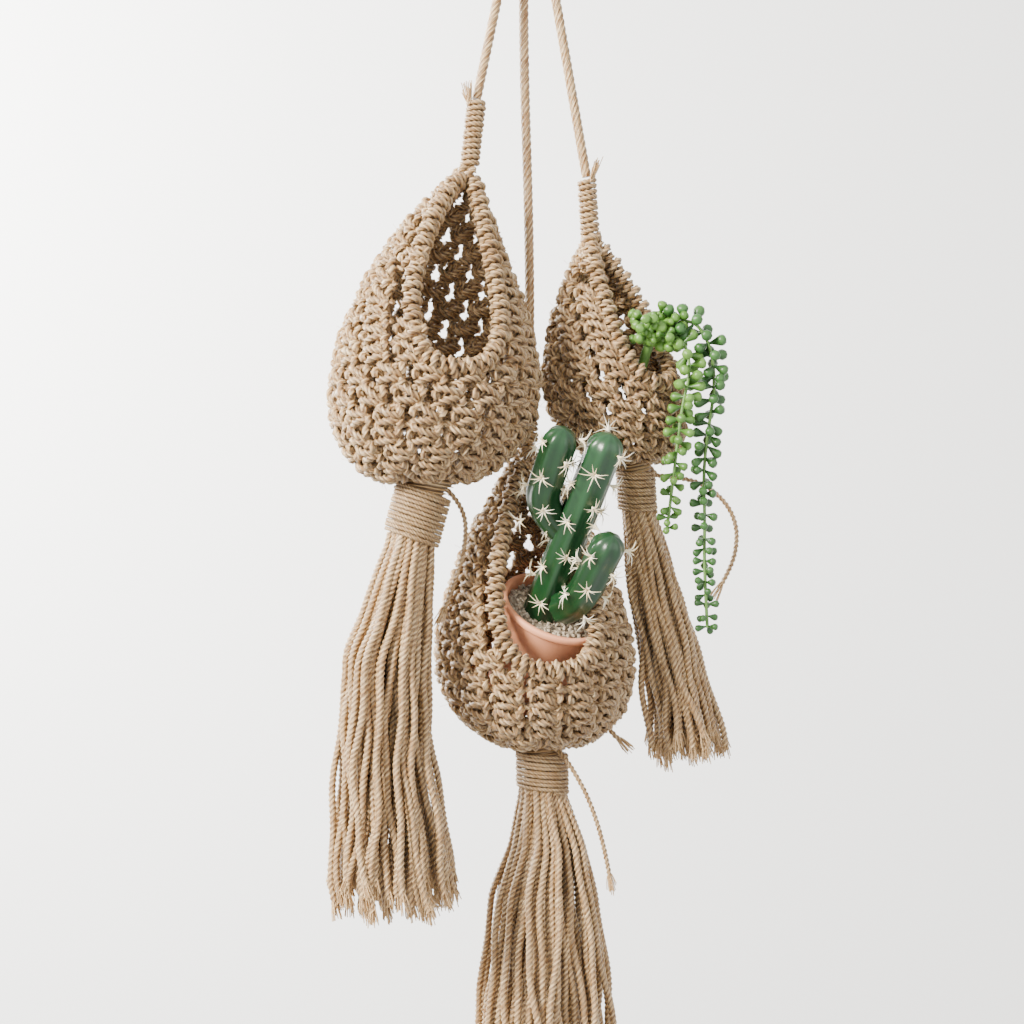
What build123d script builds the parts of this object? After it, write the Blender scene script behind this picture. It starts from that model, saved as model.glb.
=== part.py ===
"""Hanging macrame planter: three knotted jute pods with tassels, hung from one loop.

Millimetres. +Z is up, +X to the right, and the pods' mouths look roughly along -Y.
The origin is the top of the inside of the hanging loop, where a hook bears on it.
"""
from build123d import *
import os
from dataclasses import dataclass
from math import acos, asin, atan2, cos, degrees, pi, radians, sin, tan

os.makedirs("parts", exist_ok=True)

# --- cords ---------------------------------------------------------------------------
HANG_CORD = 6.0          # outside of each doubled hanging cord
TAIL_CORD = 3.2          # the loose end of a neck wrap
WALL = 8.0               # a knotted wall is about two cords thick
FLOOR = 12.0             # the cords crowd together into a thicker floor
RUNNING_GAP = 0.3        # between faces of different bodies that meet

# --- hanging loop and the wrap that gathers the three cords ----------------------------
LOOP_INSIDE = 20.0       # across the inside of the hanging loop
GATHER_TOP = -43.0       # height of the gathering wrap's top, where the loop's legs go in
GATHER_LENGTH = 32.0
GATHER_RADIUS = 10.0

# --- outline of a pod: its radius is RADIUS * sin(pi * t ** DROP) ** ROUND down its height
DROP = 1.94
ROUND = 0.384
APEX_RADIUS = 5.6

# --- outline of a mouth, from its top to its bottom, by the same kind of rule -----------
MOUTH_DROP = 2.2
MOUTH_ROUND = 0.30
RIM_WIDTH = 9.0          # the edge of half hitches round a mouth
RIM_PROUD = 1.5          # it stands this far out of the net

TOP_WRAP_RADIUS = 6.2
NECK_COVER = 3.2         # thickness of the thread wound round a neck
COVER_DROP = 3.0         # the winding begins this far under the foot of the net
SEAT_DROP = 5.0          # a tassel's skirt begins this far under its pivot

# --- terracotta pot and cactus ----------------------------------------------------------
POT_RIM_RADIUS = 34.0
POT_FOOT_RADIUS = 23.5
POT_HEIGHT = 68.0
POT_WALL = 2.0
POT_LIP = 4.0            # height of the lip
POT_LIP_STEP = 1.4       # the lip stands this far out of the cup
GRIT_DEPTH = 6.0         # the grit stops this far under the rim
COLUMN_RADIUS = 11.0
ARM_RADIUS = 9.2
SPINE_LENGTH = 7.5
SPINE_RADIUS = 0.55
AREOLE_RADIUS = 1.3

# --- trailing plant ---------------------------------------------------------------------
STEM_RADIUS = 1.3
LEAF_LENGTH = 6.2
LEAF_RADIUS = 2.6
LEAF_SPACING = 8.5
BARE_START = 22.0        # a trail's first leaves come this far along it
LEAF_SEAT = 0.3          # a leaf's foot sits this deep in its stem
STALK_RADIUS = 4.0       # the bundle of stems that stands in the pod


@dataclass
class PodSize:
    """Where a pod hangs, how large it is and which way its mouth looks."""
    name: str
    axis_x: tuple        # control values of the axis, apex to foot
    axis_y: tuple        # at the apex and at the foot
    top: float           # height of the apex
    bottom: float        # height of the foot
    radius: float
    mouth_turn: float    # degrees from -Y towards +X
    mouth_half: float    # half of the mouth's width
    mouth_top: float     # share of the pod's height
    mouth_bottom: float
    wrap_top: tuple      # centre of the top of the wrap over the apex
    neck_end: tuple      # centre of the neck's lower end, the tassel's pivot
    neck_radius: float   # outside of the neck wrap
    skirt: tuple         # tassel: (drop, shift in X, shift in Y, radius) down its length
    cord: tuple          # route of the hanging cord
    tail: tuple          # route of the neck wrap's loose end


LEFT = PodSize(
    name="left", axis_x=(-35.4, -63.0, -49.0, -61.5), axis_y=(-16, -32), top=-249, bottom=-443.4,
    radius=63, mouth_turn=16, mouth_half=23.5, mouth_top=0.045, mouth_bottom=0.625,
    wrap_top=(-31.2, -13.6, -212), neck_end=(-69, -33, -472), neck_radius=17,
    skirt=((68, -13.5, 0, 28), (128, -15, 1, 31), (200, -12, 1, 40), (227, -8, 1, 43)),
    cord=((-3.9, -2.2, -77.2), (-31.1, -13.35, -211.3)),
    tail=((-45.5, -24, -447), (-38.5, -23, -455), (-36.8, -23, -472), (-42.8, -23.5, -497), (-51, -25, -517)),
)
RIGHT = PodSize(
    name="right", axis_x=(37.2, 44.8, 47.2, 65.4), axis_y=(8, 22), top=-286.8, bottom=-430.2,
    radius=43.5, mouth_turn=45, mouth_half=16.5, mouth_top=0.05, mouth_bottom=0.62,
    wrap_top=(35.2, 6.2, -255), neck_end=(67.2, 26, -456), neck_radius=12.6,
    skirt=((30, 6.6, 4, 15), (54, 12, 8, 18), (84, 20, 14, 19.5), (114, 26, 17, 20.5),
           (140, 29.8, 18, 21.5), (160, 33, 19, 20)),
    cord=((3.9, -2.2, -77.2), (35.1, 6.1, -254.4)),
    tail=((79, 32, -434.5), (92, 34, -435.5), (107.4, 33, -439), (121, 31, -449.5), (128.5, 29, -464),
          (128, 27, -481), (122.5, 25, -495), (117, 24, -504)),
)
LOWER = PodSize(
    name="lower", axis_x=(0.3, 1.4, 2.6, 8.4), axis_y=(17, 22), top=-414, bottom=-603,
    radius=61.5, mouth_turn=10, mouth_half=28, mouth_top=0.07, mouth_bottom=0.695,
    wrap_top=(-0.2, 16.2, -381), neck_end=(8.7, 22.5, -627), neck_radius=16.5,
    skirt=((33, 3.6, 0, 25), (63, 1.8, 0, 34), (123, 1.5, 0, 44), (177, 1, 0, 48), (225, 1, 0, 48)),
    cord=((0, 4.4, -76.8), (-4.9, 6.2, -122), (2.2, 13.6, -334), (-0.2, 16.1, -380.4)),
    tail=((22.5, 6, -606.5), (29, 5, -616), (38, 5, -634), (46, 6, -660), (49.5, 7.5, -680)),
)
PODS = (LEFT, RIGHT, LOWER)

# --- the pot's place: its axis leans forward and to the right ----------------------------
POT_RIM_CENTRE = (16.8, 1.5, -513.6)
POT_AXIS = (0.296, -0.5, 0.814)

# stems of the cactus, in the pot's own frame: right, back and up from the middle of the rim
COLUMN = ((-8.5, -2, -12), (-7, 0, 111))
LEFT_ARM = ((-9, 3, 50), (-28, 4, 62), (-28, 0, 109))
RIGHT_ARM = ((-4, -4, 8), (7, -23, 24), (8, -29, 65))

STALK = ((58, 12, -413), (70, -6, -362))
CROWN = (76.5, -14.5, -349)
CROWN_SPRIGS = ((-9, 6, 2), (-4, -5, 8), (4, 4, 9), (9, -3, 3), (-6, -8, -2), (8, -9, -3))
SHORT_TRAIL = ((76.5, -17, -349), (90, -24, -352), (96, -26, -371), (90, -26, -396), (87, -25, -422),
               (84, -24, -447), (81.5, -23, -468))
LONG_TRAIL = ((80, -16, -345), (95, -21, -341), (107, -19, -355), (111, -16, -380), (107, -14, -407),
              (104, -13, -432), (105, -12, -460), (104.5, -12, -490), (106.5, -12, -526))


def save(node, shape):
    """Writes one named piece."""
    export_step(shape, f"parts/{node}.step")
    return shape


def pod_point(pod, t):
    """A point of the pod's axis, t from 0 at the apex to 1 at the foot."""
    a, b, c, d = pod.axis_x
    s = 1 - t
    x = a * s ** 3 + 3 * b * s * s * t + 3 * c * s * t * t + d * t ** 3
    y = pod.axis_y[0] * s + pod.axis_y[1] * t
    return Vector(x, y, pod.top * s + pod.bottom * t)


def pod_radius(pod, t):
    return pod.radius * sin(pi * t ** DROP) ** ROUND


def height_share(pod, radius):
    """Where, in the pod's upper half, its radius has this value."""
    return (asin((radius / pod.radius) ** (1 / ROUND)) / pi) ** (1 / DROP)


def disc(centre, radius):
    return Plane(centre) * Circle(radius)


def pod_outside(pod, proud=0.0):
    """The pod's outer shape, closed, as one smooth loft of level circles."""
    shares = (0.06, 0.15, 0.28, 0.42, 0.57, 0.71, 0.83, 0.92, 0.98)
    rings = [disc(pod_point(pod, 0), APEX_RADIUS + proud)]
    rings += [disc(pod_point(pod, t), pod_radius(pod, t) + proud) for t in shares]
    rings.append(disc(pod_point(pod, 1), pod.neck_radius - NECK_COVER + proud))
    return loft(rings)


def pod_hollow(pod):
    """The space inside the pod, WALL in from its outer shape."""
    first = height_share(pod, WALL + 3)
    last = 1 - FLOOR / (pod.top - pod.bottom)
    steps = 9
    shares = [first + (last - first) * i / (steps - 1) for i in range(steps)]
    return loft([disc(pod_point(pod, t), pod_radius(pod, t) - WALL) for t in shares])


def mouth_block(pod, grow):
    """A block through the front of the pod, in the outline of its mouth grown by this much."""
    turn = radians(pod.mouth_turn)
    ahead = Vector(sin(turn), -cos(turn), 0)
    aside = Vector(cos(turn), sin(turn), 0)
    start = pod_point(pod, 0)
    height = pod.top - pod.bottom
    top = pod.mouth_top - grow / height
    bottom = pod.mouth_bottom + grow / height
    middle, edge = [], []
    for u in (0, 0.05, 0.14, 0.28, 0.45, 0.62, 0.78, 0.9, 0.97, 1):
        t = top + (bottom - top) * u
        middle.append((aside.dot(pod_point(pod, max(t, 0)) - start), pod.top - height * t))
        edge.append((pod.mouth_half + grow) * sin(pi * u ** MOUTH_DROP) ** MOUTH_ROUND if 0 < u < 1 else 0)
    right = Spline([(m[0] + w, m[1]) for m, w in zip(middle, edge)])
    left = Spline([(m[0] - w, m[1]) for m, w in zip(middle, edge)])
    front = Plane(origin=(start.X, start.Y, 0), x_dir=aside, z_dir=ahead)
    return extrude(front * make_face([right, left]), pod.radius * 2, dir=ahead)


def rounded_route(points):
    """Straight runs joined by tangent arcs, each as large as its two runs allow."""
    points = [Vector(*p) for p in points]
    if len(points) == 2:
        return Line(*points)
    bends = []
    for before, here, after in zip(points, points[1:], points[2:]):
        turn = (here - before).get_angle(after - here)
        shorter = min((here - before).length, (after - here).length)
        bends.append(0.45 * shorter / tan(radians(turn) / 2))
    print("  bend radii", [round(b, 1) for b in bends])
    return FilletPolyline(*points, radius=bends)


def tube(points, radius):
    """A cord's tube along its rounded route."""
    route = rounded_route(points)
    section = Plane(origin=route @ 0, z_dir=route % 0) * Circle(radius)
    solid = sweep(section, path=route)
    plain_volume = pi * radius ** 2 * route.length
    print("  length", round(route.length, 1), "volume share", round(solid.volume / plain_volume, 3))
    return solid


def between(start, end, radius, bore=0.0):
    """A cylinder, or a sleeve, from one point to another."""
    start, end = Vector(*start), Vector(*end)
    place = Plane(origin=start, z_dir=end - start)
    ring = Circle(radius)
    if bore:
        ring -= Circle(bore)
    return extrude(place * ring, (end - start).length)


def make_hanger():
    """The loop over the hook, and the wrap that binds the loop's legs to the three cords."""
    bend = (LOOP_INSIDE + HANG_CORD) / 2
    centre = Vector(0, 0, -LOOP_INSIDE / 2)
    foot = Vector(GATHER_RADIUS / 2 - 0.8, 0, GATHER_TOP - 2)
    down = foot - centre
    lean = atan2(down.Z, down.X) + acos(bend / down.length)
    touch = centre + Vector(cos(lean), 0, sin(lean)) * bend
    ring = Plane(origin=centre, x_dir=(1, 0, 0), z_dir=(0, -1, 0))
    arch = Edge.make_circle(bend, ring, degrees(lean), 180 - degrees(lean))
    loop = sweep(Plane(origin=arch @ 0, z_dir=arch % 0) * Circle(HANG_CORD / 2), path=arch)
    loop += between(touch, foot, HANG_CORD / 2)
    loop += between((-touch.X, 0, touch.Z), (-foot.X, 0, foot.Z), HANG_CORD / 2)
    wrap = between((0, 0, GATHER_TOP), (0, 0, GATHER_TOP - GATHER_LENGTH), GATHER_RADIUS)
    save("hanging_loop", loop - wrap)
    save("gathering_wrap", wrap)


def make_pod(pod):
    """The knotted net, its rim, the wraps above and below, the neck, the tassel and the cords."""
    whole = pod_outside(pod)
    hollow = pod_hollow(pod)
    mouth = mouth_block(pod, 0)
    mouth_and_rim = mouth_block(pod, RIM_WIDTH)
    save(f"{pod.name}_net", whole - hollow - mouth_and_rim)
    rim = (pod_outside(pod, RIM_PROUD) & mouth_and_rim) - hollow - mouth
    save(f"{pod.name}_mouth_rim", rim)
    save(f"{pod.name}_top_wrap", between(pod_point(pod, 0), pod.wrap_top, TOP_WRAP_RADIUS) - whole - rim)

    foot, pivot = pod_point(pod, 1), Vector(*pod.neck_end)
    core_radius = pod.neck_radius - NECK_COVER
    core = between(foot, pivot, core_radius)
    save(f"{pod.name}_neck", core + Pos(*pod.neck_end) * Sphere(core_radius))
    cover_top = foot + (pivot - foot).normalized() * COVER_DROP
    save(f"{pod.name}_neck_wrap", between(cover_top, pivot, pod.neck_radius, core_radius))

    rings = [disc(pivot - Vector(0, 0, SEAT_DROP), pod.neck_radius)]
    rings += [disc(pivot + Vector(dx, dy, -drop), radius) for drop, dx, dy, radius in pod.skirt]
    seat = Pos(*pod.neck_end) * Sphere(core_radius + RUNNING_GAP)
    save(f"{pod.name}_tassel", loft(rings) - seat)

    print(pod.name, "hanging cord")
    save(f"{pod.name}_hanging_cord", tube(pod.cord, HANG_CORD / 2))
    print(pod.name, "wrap tail")
    save(f"{pod.name}_wrap_tail", tube(pod.tail, TAIL_CORD / 2))


def pot_frame():
    """The pot's own frame: origin in the middle of the rim, X to its right, Z along its axis."""
    axis = Vector(*POT_AXIS).normalized()
    right = (Vector(1, 0, 0) - axis * axis.X).normalized()
    return Plane(origin=POT_RIM_CENTRE, x_dir=right, z_dir=axis)


def make_flower_pot(frame):
    """A cup with a plain lip, and the grit in it."""
    lip_foot = -POT_LIP
    cup_rim = POT_RIM_RADIUS - POT_LIP_STEP
    slope = (cup_rim - POT_FOOT_RADIUS) / (POT_HEIGHT - POT_LIP)
    inner_foot = POT_FOOT_RADIUS - POT_WALL
    outline = Polyline(
        (0, -POT_HEIGHT), (POT_FOOT_RADIUS, -POT_HEIGHT), (cup_rim, lip_foot), (POT_RIM_RADIUS, lip_foot),
        (POT_RIM_RADIUS, 0), (cup_rim - POT_WALL, 0), (inner_foot, POT_WALL - POT_HEIGHT),
        (0, POT_WALL - POT_HEIGHT), close=True)
    cup = revolve(Plane.XZ * make_face(outline), Axis.Z)
    grit_top = inner_foot + (cup_rim - POT_WALL - inner_foot) * (1 - GRIT_DEPTH / (POT_HEIGHT - POT_WALL))
    fill = Polyline((0, POT_WALL - POT_HEIGHT), (inner_foot, POT_WALL - POT_HEIGHT),
                    (grit_top, -GRIT_DEPTH), (0, -GRIT_DEPTH), close=True)
    grit = revolve(Plane.XZ * make_face(fill), Axis.Z)
    save("flower_pot", frame * cup)
    return grit


def stem(points, radius):
    """A cactus stem with a round end, through these points of its middle line."""
    solid = Pos(*points[-1]) * Sphere(radius)
    for start, end in zip(points, points[1:]):
        solid += between(start, end, radius) + Pos(*start) * Sphere(radius)
    return solid


def spine_star():
    """One cluster of spines on its areole, pointing along +Z."""
    star = Sphere(AREOLE_RADIUS)
    for i in range(6):
        lean = Rot(0, 0, 60 * i) * Rot(0, 62, 0)
        star += lean * Pos(0, 0, SPINE_LENGTH / 2) * Cone(SPINE_RADIUS, 0.2, SPINE_LENGTH)
    return star


def areoles(points, radius, turns, first, count, spacing):
    """Places for spine clusters up the last run of a stem: spiral steps, each facing out."""
    foot, tip = Vector(*points[-2]), Vector(*points[-1])
    up = (tip - foot).normalized()
    places = []
    for i in range(count):
        angle = radians(first + turns * i)
        out = Vector(cos(angle), sin(angle), 0)
        out = (out - up * out.dot(up)).normalized()
        lift = out * (radius + AREOLE_RADIUS + 0.1)
        places.append(Plane(origin=foot + up * spacing * (i + 0.5) + lift, z_dir=out))
    return places


def make_cactus(frame, grit):
    """The column, its two arms and the spine clusters, standing in the grit."""
    column = stem(COLUMN, COLUMN_RADIUS)
    left_arm = stem(LEFT_ARM, ARM_RADIUS) - column
    right_arm = stem(RIGHT_ARM, ARM_RADIUS) - column
    stems = column + left_arm + right_arm
    save("cactus_column", frame * column)
    save("cactus_left_arm", frame * left_arm)
    save("cactus_right_arm", frame * right_arm)
    save("potting_grit", frame * (grit - stems))
    star = spine_star()
    places = areoles(COLUMN, COLUMN_RADIUS, 137, 250, 9, 13.5)[1:]
    places += areoles(LEFT_ARM, ARM_RADIUS, 137, 230, 3, 15)
    places += areoles(RIGHT_ARM, ARM_RADIUS, 137, 300, 3, 12)
    save("cactus_spines", Compound([frame * piece for place in places for piece in (place * star).solids()]))


def make_leaf():
    """One club-shaped leaf, its stalk at the origin, pointing along +Z."""
    club = Pos(0, 0, LEAF_LENGTH - LEAF_RADIUS) * Sphere(LEAF_RADIUS)
    taper = LEAF_LENGTH - LEAF_RADIUS
    return club + Pos(0, 0, taper / 2) * Cone(0.5, LEAF_RADIUS * 0.93, taper)


def leaves_along(points, leaf):
    """Opposite pairs of leaves along a stem, each pair a quarter turn from the last."""
    route = rounded_route(points)
    pairs = int((route.length - BARE_START) / LEAF_SPACING) + 1
    placed = []
    for pair in range(pairs):
        share = (BARE_START + LEAF_SPACING * pair) / route.length
        across = Plane(origin=route @ share, z_dir=route % share)
        for side in (0, 180):
            turned = across * Rot(0, 0, 90 * pair + side + 35)
            placed.append(turned * Pos(STEM_RADIUS - LEAF_SEAT, 0, 0) * Rot(0, 78, 0) * leaf)
    return placed


def make_trailing_plant():
    """A bunch of trailing stems with club leaves: a stalk in the pod, a crown and two trails."""
    leaf = make_leaf()
    stalk = save("plant_stalk", between(STALK[0], STALK[1], STALK_RADIUS))
    crown = Sphere(STALK_RADIUS + 1)
    for sprig in CROWN_SPRIGS:
        tip = Vector(*sprig)
        crown += between((0, 0, 0), tip, STEM_RADIUS)
        crown += Plane(origin=tip, z_dir=tip) * leaf
    crown = Pos(*CROWN) * crown + between(STALK[1], CROWN, STALK_RADIUS) - stalk
    for name, route in (("short_trail", SHORT_TRAIL), ("long_trail", LONG_TRAIL)):
        print(name)
        crown -= save(name, tube(route, STEM_RADIUS))
        save(f"{name}_leaves", Compound([s for part in leaves_along(route, leaf) for s in part.solids()]))
    save("plant_crown", crown)


make_hanger()
for each in PODS:
    make_pod(each)
pot_place = pot_frame()
make_cactus(pot_place, make_flower_pot(pot_place))
make_trailing_plant()
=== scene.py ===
import bpy
import math
import random
import numpy as np
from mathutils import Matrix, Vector


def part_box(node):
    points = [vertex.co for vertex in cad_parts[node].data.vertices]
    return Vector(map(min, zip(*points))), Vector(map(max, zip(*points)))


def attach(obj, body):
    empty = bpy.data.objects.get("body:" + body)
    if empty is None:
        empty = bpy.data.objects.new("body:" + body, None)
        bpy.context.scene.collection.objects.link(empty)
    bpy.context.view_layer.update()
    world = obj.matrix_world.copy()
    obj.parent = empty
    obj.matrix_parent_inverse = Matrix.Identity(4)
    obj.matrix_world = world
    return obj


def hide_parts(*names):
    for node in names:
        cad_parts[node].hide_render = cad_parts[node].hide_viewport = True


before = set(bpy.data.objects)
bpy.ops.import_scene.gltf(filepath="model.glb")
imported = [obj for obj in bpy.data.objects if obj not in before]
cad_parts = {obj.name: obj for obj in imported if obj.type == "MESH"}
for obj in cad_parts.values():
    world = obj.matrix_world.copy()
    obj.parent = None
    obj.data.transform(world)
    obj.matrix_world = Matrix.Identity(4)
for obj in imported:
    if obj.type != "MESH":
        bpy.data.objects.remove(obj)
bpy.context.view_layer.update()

# --- Camera: level with the lower pod's mouth, square on to the planter -------------------------------
# A little over a metre away, with a short telephoto lens, so that the cords run out of view above.
camera = bpy.data.objects.new("camera", bpy.data.cameras.new("camera"))
bpy.context.scene.collection.objects.link(camera)
camera.location = (-0.010, -1.25, -0.457)
camera.rotation_euler = (math.radians(90), 0, 0)
camera.data.lens = 73
camera.data.clip_end = 20
bpy.context.scene.camera = camera


# --- Studio: a pale wall well behind, one broad soft light from the left and weak fill -----------
# The wall is plain matt paint. None of this is part of the planter.
def linear(code):
    """A colour such as "D0C0A0" as linear red, green, blue and alpha."""
    channels = [int(code[i:i + 2], 16) / 255 for i in (0, 2, 4)]
    return [c / 12.92 if c <= 0.04045 else ((c + 0.055) / 1.055) ** 2.4 for c in channels] + [1.0]


def add(tree, kind, inputs=None, **settings):
    """Adds one node. Each input is a value, or a socket to link from."""
    node = tree.nodes.new(kind)
    for name, value in settings.items():
        setattr(node, name, value)
    for name, value in (inputs or {}).items():
        if isinstance(value, bpy.types.NodeSocket):
            tree.links.new(value, node.inputs[name])
        else:
            node.inputs[name].default_value = value
    return node


def new_material(name):
    """An empty material, and its node tree."""
    material = bpy.data.materials.new(name)
    material.use_nodes = True
    material.node_tree.nodes.clear()
    return material, material.node_tree


def finish_material(tree, colour, roughness, bump, **more):
    """A principled surface with this colour and these height changes."""
    inputs = {"Base Color": colour, "Roughness": roughness, "Normal": bump.outputs["Normal"]}
    inputs.update({name.replace("_", " "): value for name, value in more.items()})
    surface = add(tree, "ShaderNodeBsdfPrincipled", inputs)
    add(tree, "ShaderNodeOutputMaterial", {"Surface": surface.outputs["BSDF"]})


def blend_colours(tree, factor, first, second):
    """A mix of two colours, as a socket."""
    mix = add(tree, "ShaderNodeMix", {0: factor, 6: first, 7: second}, data_type="RGBA")
    return mix.outputs[2]


wall_paint, tree = new_material("matt_wall_paint")
noise = add(tree, "ShaderNodeTexNoise", {"Scale": 60.0, "Detail": 4.0})
bump = add(tree, "ShaderNodeBump", {"Strength": 0.05, "Distance": 0.001, "Height": noise.outputs[0]})
finish_material(tree, linear("FCFCFA"), 0.9, bump)
bpy.ops.mesh.primitive_plane_add(size=14, location=(0, 3.2, -0.5), rotation=(math.radians(90), 0, 0))
wall = bpy.context.object
wall.name = "wall"
wall.data.materials.append(wall_paint)


def soft_light(name, place, target, power, width, colour):
    """A square area light that looks at a point."""
    lamp = bpy.data.lights.new(name, "AREA")
    lamp.energy = power
    lamp.size = width
    lamp.color = linear(colour)[:3]
    holder = bpy.data.objects.new(name, lamp)
    bpy.context.scene.collection.objects.link(holder)
    holder.location = place
    holder.rotation_euler = (Vector(target) - Vector(place)).to_track_quat("-Z", "Y").to_euler()


soft_light("window_light", (-1.5, -1.3, 0.5), (0, 0.1, -0.45), 185, 0.65, "FFF8EC")
soft_light("wall_wash", (-2.6, 1.6, 0.8), (-0.4, 3.2, -0.4), 480, 1.2, "FFFEFC")
soft_light("fill_light", (1.3, -1.6, -0.2), (0, 0.1, -0.5), 10, 1.6, "FFFFFF")
world = bpy.data.worlds.new("room")
world.use_nodes = True
world.node_tree.nodes["Background"].inputs["Color"].default_value = linear("F4F3F2")
world.node_tree.nodes["Background"].inputs["Strength"].default_value = 1.6
bpy.context.scene.world = world

# --- Hanging cords: three tight laid jute cords from the gathering wrap to the pods ---------------
# Each is two lengths of twine twisted together, about 6 mm thick in all.
MM = 0.001
HANGING_CORD_RADIUS = 3.0
HANGING_CORD_LAY = 26
HANGING_CORD_DEPTH = 0.2      # how deep the grooves between the plies are, as a share


def strand_tree():
    """Geometry Nodes: sweeps a lobed section along every line, twisted once per lay length."""
    tree = bpy.data.node_groups.new("laid_strand", "GeometryNodeTree")
    face = tree.interface
    face.new_socket("Geometry", in_out="INPUT", socket_type="NodeSocketGeometry")
    for name, kind, value in (("Radius", "Float", 0.002), ("Depth", "Float", 0.3), ("Twist", "Float", 0.0),
                              ("Step", "Float", 0.002), ("Lobes", "Float", 3.0), ("Sides", "Int", 6)):
        face.new_socket(name, in_out="INPUT", socket_type=f"NodeSocket{kind}").default_value = value
    face.new_socket("Material", in_out="INPUT", socket_type="NodeSocketMaterial")
    face.new_socket("Geometry", in_out="OUTPUT", socket_type="NodeSocketGeometry")
    given = add(tree, "NodeGroupInput").outputs

    around = add(tree, "GeometryNodeSplineParameter").outputs["Factor"]
    turn = add(tree, "ShaderNodeMath", {0: around, 1: math.tau}, operation="MULTIPLY").outputs[0]
    lobe = add(tree, "ShaderNodeMath", {0: turn, 1: given["Lobes"]}, operation="MULTIPLY").outputs[0]
    wave = add(tree, "ShaderNodeMath", {0: lobe}, operation="COSINE").outputs[0]
    valley = add(tree, "ShaderNodeMath", {0: wave, 1: -0.5, 2: 0.5}, operation="MULTIPLY_ADD").outputs[0]
    cut = add(tree, "ShaderNodeMath", {0: valley, 1: given["Depth"]}, operation="MULTIPLY").outputs[0]
    share = add(tree, "ShaderNodeMath", {0: 1.0, 1: cut}, operation="SUBTRACT").outputs[0]
    scale = add(tree, "ShaderNodeMath", {0: share, 1: given["Radius"]}, operation="MULTIPLY").outputs[0]
    ring = add(tree, "GeometryNodeCurvePrimitiveCircle", {"Resolution": given["Sides"], "Radius": 1.0})
    place = add(tree, "GeometryNodeInputPosition").outputs[0]
    ring = add(tree, "GeometryNodeStoreNamedAttribute",
               {"Geometry": ring.outputs[0], "Name": "ring", "Value": place}, data_type="FLOAT_VECTOR")
    ring = add(tree, "GeometryNodeStoreNamedAttribute",
               {"Geometry": ring.outputs[0], "Name": "valley", "Value": valley}, data_type="FLOAT")
    shaped = add(tree, "ShaderNodeVectorMath", {0: place, "Scale": scale}, operation="SCALE").outputs[0]
    ring = add(tree, "GeometryNodeSetPosition", {"Geometry": ring.outputs[0], "Position": shaped})

    line = add(tree, "GeometryNodeMeshToCurve", {"Mesh": given["Geometry"]})
    line = add(tree, "GeometryNodeCurveSplineType", {"Curve": line.outputs[0]}, spline_type="CATMULL_ROM")
    line = add(tree, "GeometryNodeSetSplineResolution", {"Geometry": line.outputs[0], "Resolution": 6})
    line = add(tree, "GeometryNodeResampleCurve",
               {"Curve": line.outputs[0], "Length": given["Step"]}, mode="LENGTH")
    length = add(tree, "GeometryNodeSplineParameter").outputs["Length"]
    line = add(tree, "GeometryNodeStoreNamedAttribute",
               {"Geometry": line.outputs[0], "Name": "along", "Value": length}, data_type="FLOAT")
    tilt = add(tree, "ShaderNodeMath", {0: length, 1: given["Twist"]}, operation="MULTIPLY").outputs[0]
    line = add(tree, "GeometryNodeSetCurveTilt", {"Curve": line.outputs[0], "Tilt": tilt})
    width = add(tree, "GeometryNodeInputNamedAttribute", {"Name": "width"}, data_type="FLOAT").outputs[0]
    line = add(tree, "GeometryNodeSetCurveRadius", {"Curve": line.outputs[0], "Radius": width})
    skin = add(tree, "GeometryNodeCurveToMesh",
               {"Curve": line.outputs[0], "Profile Curve": ring.outputs[0], "Fill Caps": True})
    if "Scale" in skin.inputs:
        tree.links.new(width, skin.inputs["Scale"])
    skin = add(tree, "GeometryNodeSetShadeSmooth", {"Geometry": skin.outputs[0]})
    skin = add(tree, "GeometryNodeRealizeInstances", {"Geometry": skin.outputs[0]})
    skin = add(tree, "GeometryNodeSetMaterial",
               {"Geometry": skin.outputs[0], "Material": given["Material"]})
    add(tree, "NodeGroupOutput", {"Geometry": skin.outputs[0]})
    return tree


STRAND_TREE = strand_tree()


def strands(name, lines, radius, material, lay=0.0, step=1.3, sides=6, depth=0.34, lobes=3, widths=None):
    """One mesh of strands along lines of points in metres. The other sizes are in millimetres."""
    places, edges, tones, wide = [], [], [], []
    chance = random.Random(name)
    for number, line in enumerate(lines):
        tone = chance.random()
        first = len(places)
        places += [tuple(p) for p in line]
        edges += [(first + i, first + i + 1) for i in range(len(line) - 1)]
        tones += [tone] * len(line)
        wide += list(widths[number]) if widths else [1.0] * len(line)
    mesh = bpy.data.meshes.new(name)
    mesh.from_pydata(places, edges, [])
    mesh.attributes.new("tone", "FLOAT", "POINT").data.foreach_set("value", tones)
    mesh.attributes.new("width", "FLOAT", "POINT").data.foreach_set("value", wide)
    source = bpy.data.objects.new(name, mesh)
    bpy.context.scene.collection.objects.link(source)
    modifier = source.modifiers.new("strands", "NODES")
    modifier.node_group = STRAND_TREE
    values = {"Radius": radius * MM, "Depth": depth, "Twist": math.tau / (lay * MM) if lay else 0.0,
              "Step": step * MM, "Lobes": float(lobes), "Sides": sides, "Material": material}
    for item in STRAND_TREE.interface.items_tree:
        if item.in_out == "INPUT" and item.name in values:
            modifier[item.identifier] = values[item.name]
    graph = bpy.context.evaluated_depsgraph_get()
    made = bpy.data.meshes.new_from_object(source.evaluated_get(graph))
    bpy.data.objects.remove(source)
    made.name = name
    piece = bpy.data.objects.new(name, made)
    bpy.context.scene.collection.objects.link(piece)
    return piece


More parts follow.
